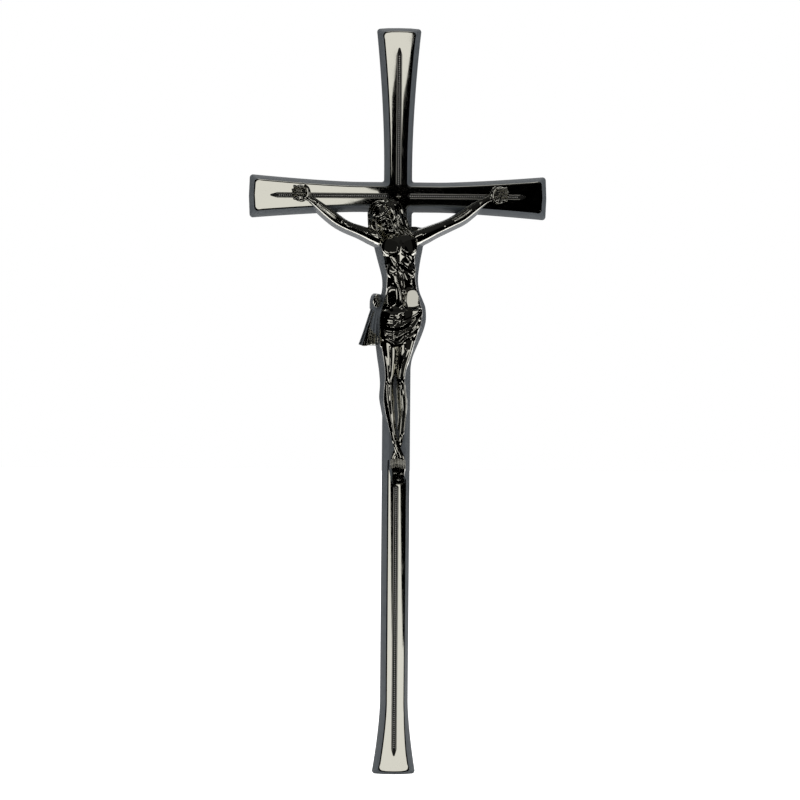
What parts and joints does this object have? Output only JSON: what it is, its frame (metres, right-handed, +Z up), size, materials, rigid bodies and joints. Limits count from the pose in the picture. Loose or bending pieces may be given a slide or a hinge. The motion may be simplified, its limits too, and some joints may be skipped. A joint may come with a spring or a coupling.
{
  "type": "grave crucifix",
  "caption": "Tall one-piece metal grave cross with flared arms, corded channels in the face and a figure in relief, hollow at the back with tapped stud bosses.",
  "frame": {"origin": "middle of the crossing on the back plane, at the mouth of the crossing stud hole", "axes": "+Z up the shaft, +Y out of the back towards the stone, -Y out of the face, +X to the viewer's right"},
  "size_m": [0.159, 0.0207, 0.4],
  "materials": {
    "polished_metal": "dark nickel plating, mirror polished",
    "coated_sides": "satin blue-grey coat"
  },
  "bodies": {
    "root": {"cross": "polished_metal"}
  },
  "joints": []
}
